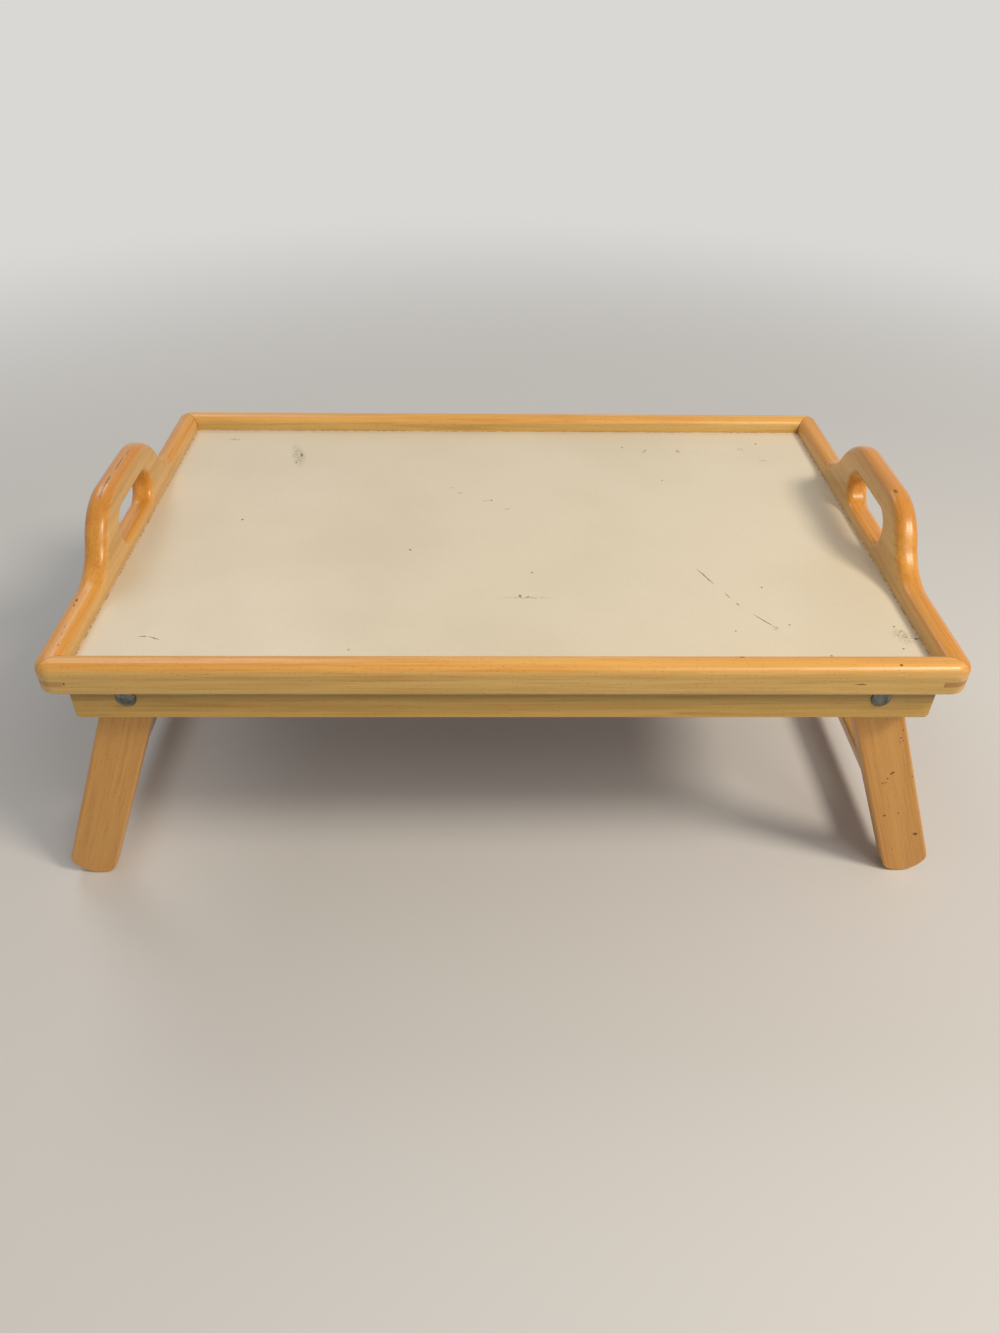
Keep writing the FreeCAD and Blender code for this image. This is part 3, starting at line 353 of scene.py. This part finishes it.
SPECKS = [
    ((-200.5, 11.6), 1.1, 1.4, 0), ((-68, -32.6), 1.1, 1.2, 0), ((-7.2, 44), 0.9, 1.1, 0),
    ((21.2, -63.1), 1.0, 1.0, 0), ((11.8, -92.9), 1.3, 1.5, 0), ((17.6, -93.8), 0.7, 0.8, 0),
    ((-99.9, -154.7), 0.8, 0.9, 0), ((182.9, -81.6), 0.8, 0.9, 0),
    ((191.3, -126.7), 0.9, 0.8, 0), ((153.7, -133.9), 0.7, 0.7, 0),
    ((-171.2, 123.6), 1.1, 4.0, 8), ((-173.9, 109.4), 0.8, 2.2, 0),
    ((271.1, -142.3), 1.8, 1.2, 0), ((259.1, -153.2), 1.0, 0.8, 0),
    ((261, -128.7), 1.0, 0.7, 30), ((264.1, -133.6), 0.8, 0.7, 0),
    ((209.9, -160.5), 0.9, 0.7, 0), ((109.1, 141.2), 0.9, 1.4, 0),
    ((229.8, 150), 1.0, 1.6, 0), ((135.7, 79.6), 0.8, 1.2, 0)]

panel_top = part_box("tray_panel")[1].z


def melamine_board(name):
    """Hard cream plastic, smooth with a faint orange peel, on bare brown board."""
    material, tree, output = blank_material(name)
    place = add(tree, "TexCoord").outputs["Object"]
    spot = add(tree, "SeparateXYZ", {"Vector": place})
    shake = add(tree, "TexNoise", {"Vector": place, "Scale": MARK_TURNS, "Detail": 4.0})
    wander = (MARK_WANDER_MM / 1000, MARK_WANDER_MM / 1000, 0.0)
    ragged = add(tree, "VectorMath", {0: shake.outputs["Color"], 1: wander, 2: place},
                 operation="MULTIPLY_ADD")
    knife, scuff, speck = [
        blots(tree, ragged, [((*middle, panel_top * 1000),
                              (half_length, half_width, MARK_DEPTH_MM), angle)
                             for middle, half_length, half_width, angle in spots], soft)
        for spots, soft in ((SCRATCHES, 0.5), (SCUFFS, 0.1), (SPECKS, 0.7))]
    # hairlines that only the shine shows: three fields of long thin cells
    hairs = None
    for angle, length, spacing in HAIRS:
        laid = add(tree, "Mapping", {
            "Vector": place, "Rotation": (0.0, 0.0, math.radians(angle)),
            "Scale": (1000 / length, 1000 / spacing, 1.0)})
        cells = add(tree, "TexVoronoi", {"Vector": laid, "Scale": 1.0}, voronoi_dimensions="2D")
        hair = add(tree, "MapRange", {"Value": cells.outputs["Distance"], "From Min": 0.07,
                                      "From Max": 0.02}, interpolation_type="SMOOTHSTEP")
        hairs = hair if hairs is None else add(tree, "Math", {0: hairs, 1: hair},
                                               operation="MAXIMUM")

    cloud = add(tree, "TexNoise", {"Vector": place, "Scale": 1000 / FADED_MM, "Detail": 3.0})
    mottle = add(tree, "TexNoise", {"Vector": place, "Scale": 1000 / MOTTLE_MM, "Detail": 4.0})
    grit = add(tree, "TexNoise", {"Vector": place, "Scale": 1000 / GRIT_MM, "Detail": 3.0,
                                  "Roughness": 0.7})
    flake = add(tree, "TexNoise", {"Vector": place, "Scale": 1000 / FLAKE_MM, "Detail": 5.0})
    # how far past the frame's inner faces a point lies: below 0 on all of the panel that shows
    across, back = [add(tree, "Math", {0: spot.outputs[axis]}, operation="ABSOLUTE")
                    for axis in ("X", "Y")]
    past_frame = add(tree, "Math", {
        0: add(tree, "Math", {0: across, 1: -board_low.x}, operation="ADD"),
        1: add(tree, "Math", {0: back, 1: rail_high.y}, operation="ADD")}, operation="MAXIMUM")
    limits = {"faded": (cloud, 0.35, 0.65), "mottled": (mottle, 0.5, 0.8),
              "gritty": (grit, 0.44, 0.6), "broken": (grit, 0.28, 0.42),
              "flaked": (flake, 0.3, 0.7), "patchy": (mottle, 0.42, 0.6),
              "edge": (past_frame, -DIRT_SHADE_MM[0] / 1000, -DIRT_SHADE_MM[1] / 1000)}
    masks = {mask: add(tree, "MapRange", {"Value": value, "From Min": low, "From Max": high},
                       interpolation_type="SMOOTHSTEP")
             for mask, (value, low, high) in limits.items()}
    # the line along the frame, broken in patches, is dirt together with painted shade where panel
    # meets frame
    cut, scuffed, dirt_and_shade = [add(tree, "Math", {0: first, 1: second}, operation="MULTIPLY")
                           for first, second in ((knife, masks["broken"]),
                                                 (scuff, masks["gritty"]),
                                                 (masks["edge"], masks["patchy"]))]
    face = overlaid(
        tree, linear(CREAM[0]), (masks["faded"], 0.8, CREAM[1]), (masks["mottled"], 0.07, SCUFF),
        (scuffed, 0.8, SCUFF), (dirt_and_shade, 0.6, DIRT_AND_SHADE), (cut, 0.9, KNIFE), (speck, 0.8, SPECK))

    threads = [add(tree, "TexWave", {"Vector": place, "Scale": WAVE_UNIT * 1000 / SCREEN_MM},
                   bands_direction=axis) for axis in ("X", "Y")]
    weave = add(tree, "Math", {0: threads[0].outputs["Fac"], 1: threads[1].outputs["Fac"]},
                operation="MULTIPLY")
    under = overlaid(tree, linear(BOARD[0]), (masks["flaked"], 1.0, BOARD[1]),
                     (weave, 0.3, BOARD[2]))

    is_face = add(tree, "Math", {0: spot.outputs["Z"], 1: panel_top - FACE_MM / 1000},
                  operation="GREATER_THAN")
    tone = add(tree, "Mix", {"Factor": is_face, "A": under, "B": face}, data_type="RGBA")
    orange_peel = add(tree, "Math", {0: mottle, 1: 0.08}, operation="MULTIPLY")
    lined = add(tree, "Math", {0: hairs, 1: -0.5, 2: orange_peel}, operation="MULTIPLY_ADD")
    dents = add(tree, "Math", {0: cut, 1: -3.0, 2: lined}, operation="MULTIPLY_ADD")
    relief = add(tree, "Mix", {"Factor": is_face, "A": weave, "B": dents}, data_type="FLOAT")
    bump = add(tree, "Bump", {"Height": relief, "Strength": 0.3, "Distance": 0.0002})
    shine = add(tree, "MapRange", {"Value": masks["faded"], "To Min": 0.36, "To Max": 0.4})
    dulled = add(tree, "Math", {0: hairs, 1: 0.12, 2: shine}, operation="MULTIPLY_ADD")
    rough = add(tree, "Mix", {"Factor": is_face, "A": 0.8, "B": dulled}, data_type="FLOAT")
    shader = add(tree, "BsdfPrincipled", {"Base Color": tone, "Roughness": rough, "IOR": 1.5,
                                          "Normal": bump})
    tree.links.new(shader.outputs[0], output.inputs["Surface"])
    return material


dress(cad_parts["tray_panel"], melamine_board("cream_melamine_on_hardboard"))


# The aprons: plain beech bars glued up under the panel, set back from the rails. They never saw
# much light, so their lacquer stayed pale; their olive darkening near the top is painted shadow
# from the rails' overhang.

APRON_PALE = ("#D6AC5A", "#AE8030")
# 15 and 7 mm under the rails, between which the aprons darken upwards in painted shadow
RAIL_SHADOW_HEIGHTS = (rail_low.z * 1000 - 15.0, rail_low.z * 1000 - 7.0)

dress(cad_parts["front_apron"], lacquered_beech(
    "beech_front_apron", ALONG_X, (70.0, -247.0), 3300.0, APRON_PALE, APRON_PALE,
    shadow_heights=RAIL_SHADOW_HEIGHTS))
dress(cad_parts["rear_apron"], lacquered_beech(
    "beech_rear_apron", ALONG_X, (-120.0, -240.0), 4100.0, APRON_PALE, APRON_PALE,
    shadow_heights=RAIL_SHADOW_HEIGHTS))


# The leg frames: four beech legs with a half-round head and a rounded foot, each pair tied by a
# slat with stub tenons. Their grain runs down the leg, so it leans with it.

LEG_AMBER = ("#D9A052", "#BE8036")
SPLAY = math.radians(21.5)  # open leg to the vertical
LEG_TURN = {"right": (0.0, -(math.pi / 2 - SPLAY), 0.0),
            "left": (0.0, -(math.pi / 2 + SPLAY), 0.0)}
LEG_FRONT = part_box("front_right_leg")[0].y * 1000
# the front right leg's knots and stains, on its front: x, z, half width and half height in mm
KNOTS = [(271.1, 146.5, 0.7, 0.9), (271.4, 139.2, 0.8, 1.1), (273.5, 136.7, 0.6, 0.8),
         (271.7, 135.5, 0.5, 0.6), (274.8, 106.1, 1.1, 1.0), (273.8, 104.9, 1.2, 1.1),
         (272.3, 100.2, 0.9, 0.9), (272.0, 96.2, 0.8, 0.8), (270.3, 95.2, 1.0, 0.8),
         (289.6, 102.4, 0.8, 0.8), (289.5, 64.6, 0.7, 1.0), (280.1, 62.0, 1.5, 1.4),
         (308.9, 59.9, 0.7, 0.7), (308.3, 42.1, 2.2, 1.9), (295.1, 25.7, 0.5, 0.6)]
LEG_MARKS = {"front_right": [((x, LEG_FRONT, z), (half_width, 1.0, half_height), 0)
                             for x, z, half_width, half_height in KNOTS]}

# each is cut from a place of its own in the log, so that no two have the same figure
for number, corner in enumerate(CORNERS):
    side = corner.split("_")[1]
    dress(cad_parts[corner + "_leg"], lacquered_beech(
        "beech_%s_leg" % corner, LEG_TURN[side], (120.0 + 31.0 * number, -210.0),
        5000.0 + 700.0 * number, LEG_AMBER, LEG_AMBER, marks=LEG_MARKS.get(corner, ()),
        bruise=STAIN))
for number, side in enumerate(SIDES):
    dress(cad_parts[side + "_stretcher"], lacquered_beech(
        "beech_%s_stretcher" % side, ALONG_Y, (-260.0 + 520.0 * number, -60.0),
        8100.0 + 900.0 * number, LEG_AMBER, LEG_AMBER))


# The pivots: an M6 coach bolt through apron and leg, a spacer between them, and a washer and lock
# nut inside. All are cold-formed steel, zinc-plated and gone grey, but for the ring of natural
# nylon that the nut's rolled collar holds.

ZINC = ("#7A7B72", "#484A42")
MILK = ("#E9E8DF", "#D5D3C6")
DULL_MM, GRIT_STEEL_MM, HAZE_MM = 4.0, 0.35, 0.8
STEPS = 48  # round a turned piece; a multiple of the nut's six sides and of the neck's four
# sizes of bolt and nut, in mm
HEAD_RADIUS, HEAD_HEIGHT, HEAD_RIM, HEAD_EDGE, DOME_STEPS = 6.5, 3.6, 0.7, 0.12, 10
SHANK_RADIUS, THREAD_ROOT, TIP_RADIUS, BOLT_LENGTH = 3.0, 2.45, 2.2, 42.9
THREAD_START, THREAD_PITCH, ROOT_FLAT, CREST_FLAT = 25.0, 1.0, 0.05, 0.06
NECK_HALF, NECK_CORNER, NECK_LENGTH, NECK_RUNOUT = 3.02, 4.05, 6.0, 0.4
NUT_FLATS, NUT_CROWN, NUT_HEX_HEIGHT, NUT_TAPER = 10.0, 4.75, 4.4, math.tan(math.radians(30))
NUT_BORE, NUT_LEAD_IN, SEAT_RADIUS, SEAT_FLOOR = 3.2, 0.25, 3.75, 4.6
# outside and bore radius, thickness and edge rounding
SPACER, WASHER, INSERT = (7.0, 3.2, 1.0, 0.15), (7.0, 3.2, 1.2, 0.2), (3.7, 3.05, 1.4, 0.12)
# the hexagon and the square neck are spun as rings of these radii, whose points are then moved
HEX_MARK, NECK_MARK = 9.0, 8.0


def zinc_plate(name):
    """Grey plating gone cloudy: a metal whose shine comes and goes in patches, finely gritty."""
    material, tree, output = blank_material(name)
    place = add(tree, "TexCoord").outputs["Object"]
    cloud = add(tree, "TexNoise", {"Vector": place, "Scale": 1000 / DULL_MM, "Detail": 4.0,
                                   "Roughness": 0.6})
    grit = add(tree, "TexNoise", {"Vector": place, "Scale": 1000 / GRIT_STEEL_MM, "Detail": 2.0})
    dull = add(tree, "MapRange", {"Value": cloud, "From Min": 0.3, "From Max": 0.75},
               interpolation_type="SMOOTHSTEP")
    tone = overlaid(tree, linear(ZINC[0]), (dull, 1.0, ZINC[1]))
    rough = add(tree, "MapRange", {"Value": dull, "To Min": 0.2, "To Max": 0.32})
    bump = add(tree, "Bump", {"Height": grit, "Strength": 0.12, "Distance": 0.00005})
    shader = add(tree, "BsdfPrincipled", {"Base Color": tone, "Metallic": 1.0, "Roughness": rough,
                                          "Normal": bump})
    tree.links.new(shader.outputs[0], output.inputs["Surface"])
    return material


def natural_nylon(name):
    """Milky plastic, waxy to the eye, with moulding haze in its roughness."""
    material, tree, output = blank_material(name)
    place = add(tree, "TexCoord").outputs["Object"]
    haze = add(tree, "TexNoise", {"Vector": place, "Scale": 1000 / HAZE_MM, "Detail": 3.0})
    tone = overlaid(tree, linear(MILK[0]), (haze, 1.0, MILK[1]))
    rough = add(tree, "MapRange", {"Value": haze, "To Min": 0.35, "To Max": 0.6})
    shader = add(tree, "BsdfPrincipled", {"Base Color": tone, "Roughness": rough, "IOR": 1.53,
                                          "Subsurface Weight": 0.2, "Subsurface Scale": 0.001})
    tree.links.new(shader.outputs[0], output.inputs["Surface"])
    return material


def turned(name, node, profile, closed, material):
    """Spins a profile of (radius, reach) in mm about a pivot's axis and puts it in a node's place;
    reach runs inwards from the node's outer side."""
    shape = bmesh.new()
    points = [shape.verts.new((radius / 1000, 0.0, reach / 1000)) for radius, reach in profile]
    pairs = list(zip(points, points[1:])) + ([(points[-1], points[0])] if closed else [])
    edges = [shape.edges.new(pair) for pair in pairs]
    bmesh.ops.spin(shape, geom=points + edges, axis=(0.0, 0.0, 1.0), cent=(0.0, 0.0, 0.0),
                   dvec=(0.0, 0.0, 0.0), angle=math.tau, steps=STEPS, use_merge=True)
    bmesh.ops.remove_doubles(shape, verts=shape.verts, dist=1e-7)
    for vert in shape.verts:
        bearing = math.degrees(math.atan2(vert.co.y, vert.co.x))
        if abs(vert.co.xy.length - NECK_MARK / 1000) < 1e-6:
            flat = NECK_HALF / math.cos(math.radians((bearing + 45) % 90 - 45))
            vert.co.xy = vert.co.xy.normalized() * min(flat, NECK_CORNER) / 1000
        if abs(vert.co.xy.length - HEX_MARK / 1000) < 1e-6:
            out = NUT_FLATS / 2 / math.cos(math.radians((bearing + 30) % 60 - 30))
            # the chamfer: the further out a point, the more it draws in from its end of the nut
            lift = (out - NUT_CROWN) * NUT_TAPER / 1000
            vert.co.xy = vert.co.xy.normalized() * out / 1000
            vert.co.z += lift if vert.co.z < NUT_HEX_HEIGHT / 2000 else -lift
    bmesh.ops.recalc_face_normals(shape, faces=shape.faces)
    mesh = bpy.data.meshes.new(name)
    shape.to_mesh(mesh)
    shape.free()
    low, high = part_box(node)
    front = low.y < 0
    seat = Vector(((low.x + high.x) / 2, low.y if front else high.y, (low.z + high.z) / 2))
    mesh.transform(Matrix.Translation(seat) @ Matrix.Rotation(0.0 if front else math.pi, 4, "Z")
                   @ Matrix.Rotation(-math.pi / 2, 4, "X"))
    mesh.shade_smooth()
    mesh.set_sharp_from_angle(angle=math.radians(28))
    piece = bpy.data.objects.new(name, mesh)
    bpy.context.scene.collection.objects.link(piece)
    dress(piece, material)
    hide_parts(node)
    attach(piece, "tray")


dome_rise = HEAD_HEIGHT - HEAD_RIM
dome_radius = (HEAD_RADIUS ** 2 + dome_rise ** 2) / (2 * dome_rise)
dome_angle = math.asin(HEAD_RADIUS / dome_radius)
bolt_profile = [(dome_radius * math.sin(dome_angle * step / DOME_STEPS),
                 dome_radius * (1 - math.cos(dome_angle * step / DOME_STEPS)))
                for step in range(DOME_STEPS)]
bolt_profile += [(HEAD_RADIUS - 0.15, dome_rise - HEAD_EDGE), (HEAD_RADIUS, dome_rise + HEAD_EDGE),
                 (HEAD_RADIUS, HEAD_HEIGHT - HEAD_EDGE), (HEAD_RADIUS - HEAD_EDGE, HEAD_HEIGHT),
                 (NECK_MARK, HEAD_HEIGHT), (NECK_MARK, HEAD_HEIGHT + NECK_LENGTH),
                 (SHANK_RADIUS, HEAD_HEIGHT + NECK_LENGTH + NECK_RUNOUT),
                 (SHANK_RADIUS, THREAD_START)]
# the thread: separate ridges at its pitch, not a helix
for ridge in range(int((BOLT_LENGTH - THREAD_START) / THREAD_PITCH)):
    crest = THREAD_START + THREAD_PITCH * (ridge + 1)
    valley = crest - THREAD_PITCH / 2
    bolt_profile += [(THREAD_ROOT, valley - ROOT_FLAT), (THREAD_ROOT, valley + ROOT_FLAT),
                     (SHANK_RADIUS, crest - CREST_FLAT), (SHANK_RADIUS, crest + CREST_FLAT)]
bolt_profile += [(TIP_RADIUS, BOLT_LENGTH), (0.0, BOLT_LENGTH)]

nut_profile = [(NUT_BORE, SEAT_FLOOR), (NUT_BORE, NUT_LEAD_IN), (NUT_BORE + NUT_LEAD_IN, 0.0),
               (NUT_CROWN, 0.0), (HEX_MARK, 0.0), (HEX_MARK, NUT_HEX_HEIGHT),
               (NUT_CROWN, NUT_HEX_HEIGHT)]
# the collar, rolled in at its top over the nylon ring
nut_profile += [(4.5, NUT_HEX_HEIGHT), (4.4, 4.5), (4.4, 5.6), (4.33, 5.87), (4.13, 6.1),
                (3.95, 6.2), (3.82, 6.18), (SEAT_RADIUS, 6.1), (SEAT_RADIUS, SEAT_FLOOR)]


def flat_ring(outer, inner, thickness, edge):
    """The profile of a flat ring with rounded edges, in mm."""
    soft = edge * (1 - math.sqrt(0.5))
    return [(inner, edge), (inner + edge, 0.0), (outer - edge, 0.0), (outer - soft, soft),
            (outer, edge), (outer, thickness - edge), (outer - soft, thickness - soft),
            (outer - edge, thickness), (inner + edge, thickness), (inner, thickness - edge)]


plated = zinc_plate("zinc_plated_steel")
nylon = natural_nylon("natural_nylon")
for corner in CORNERS:
    turned(corner + "_coach_bolt", corner + "_bolt", bolt_profile, False,
           plated)
    turned(corner + "_spacer_disc", corner + "_spacer", flat_ring(*SPACER), True,
           plated)
    turned(corner + "_plain_washer", corner + "_washer", flat_ring(*WASHER), True,
           plated)
    turned(corner + "_lock_nut", corner + "_nut", nut_profile, True, plated)
    turned(corner + "_nut_insert", corner + "_nylon_ring", flat_ring(*INSERT), True,
           nylon)


# The studio: a pale floor that fades into the background, a lamp to the right, a weaker and
# broader one in front, another behind on the left, and an even sky.

FLOOR = "#DAD8D4"
FLOOR_RADIUS = 12.0  # metres
FADE = (0.6, 1.9)  # metres from the middle: where the floor starts to fade, and where it is gone

floor_mesh = bpy.data.meshes.new("floor")
shape = bmesh.new()
bmesh.ops.create_circle(shape, cap_ends=True, radius=FLOOR_RADIUS, segments=64)
shape.to_mesh(floor_mesh)
shape.free()
floor = bpy.data.objects.new("floor", floor_mesh)
bpy.context.scene.collection.objects.link(floor)

paper, paper_tree, paper_output = blank_material("matt_paper")
place = add(paper_tree, "TexCoord").outputs["Object"]
distance = add(paper_tree, "VectorMath", {0: place}, operation="LENGTH")
fade = add(paper_tree, "MapRange", {"Value": distance.outputs["Value"], "From Min": FADE[0],
                                    "From Max": FADE[1]}, interpolation_type="SMOOTHSTEP")
world = bpy.data.worlds.new("studio")
world.use_nodes = True
sky = world.node_tree
sky.nodes.clear()
# the backdrop is what the camera, and a mirror or a glass in the scene, see of floor and sky
seen = {}
for tree in (paper_tree, sky):
    rays = add(tree, "LightPath")
    seen[tree] = add(tree, "Math", {0: rays.outputs["Is Camera Ray"],
                                    1: rays.outputs["Is Glossy Ray"]}, operation="MAXIMUM")
    seen[tree] = add(tree, "Math", {0: seen[tree], 1: rays.outputs["Is Transmission Ray"]},
                     operation="MAXIMUM")
faded = add(paper_tree, "Math", {0: fade, 1: seen[paper_tree]}, operation="MULTIPLY")
matt = add(paper_tree, "BsdfDiffuse", {"Color": linear(FLOOR)})
glow = add(paper_tree, "Emission", {"Color": linear(FLOOR), "Strength": 1.0})
both = add(paper_tree, "MixShader", {0: faded, 1: matt, 2: glow})
paper_tree.links.new(both.outputs[0], paper_output.inputs["Surface"])
dress(floor, paper)
light = add(sky, "Background", {"Color": linear("#F4F6FA"), "Strength": 0.34})
shade = add(sky, "Background", {"Color": linear(FLOOR), "Strength": 1.0})
mixed = add(sky, "MixShader", {0: seen[sky], 1: light, 2: shade})
add(sky, "OutputWorld", {"Surface": mixed})
bpy.context.scene.world = world

# name, place, size in metres, watts, colour
LAMPS = (("key", (1.15, -0.75, 1.55), 0.5, 20.0, "#FFF3E2"),
         ("fill", (0.8, -1.35, 1.75), 0.9, 8.5, "#FFF8EE"),
         ("rim", (-0.8, 1.25, 1.8), 1.0, 7.5, "#FFFFFF"))
AIM = Vector((0.0, 0.0, 0.15))
for name, place, size, watts, colour in LAMPS:
    data = bpy.data.lights.new(name, "AREA")
    data.shape = "DISK"
    data.size = size
    data.energy = watts
    data.color = linear(colour)[:3]
    lamp = bpy.data.objects.new(name, data)
    lamp.location = place
    lamp.rotation_euler = (AIM - Vector(place)).to_track_quat("-Z", "Y").to_euler()
    bpy.context.scene.collection.objects.link(lamp)


# The camera stands where the photograph was taken: close in front, a little to the left, and
# looking down on the tray.

STAND = Vector((-0.01425, -0.64681, 0.58185))
PITCH, YAW, ROLL = math.radians(38.29), math.radians(-1.25), math.radians(0.82)
LENS_MM, SENSOR_MM = 25.95, 36.0  # the sensor's long side

camera_data = bpy.data.cameras.new("camera")
camera_data.lens = LENS_MM
camera_data.sensor_width = SENSOR_MM
camera = bpy.data.objects.new("camera", camera_data)
camera.matrix_world = (Matrix.Translation(STAND) @ Matrix.Rotation(YAW, 4, "Z")
                       @ Matrix.Rotation(math.pi / 2 - PITCH, 4, "X")
                       @ Matrix.Rotation(ROLL, 4, "Z"))
bpy.context.scene.collection.objects.link(camera)
bpy.context.scene.camera = camera
bpy.context.scene.view_settings.view_transform = "Standard"
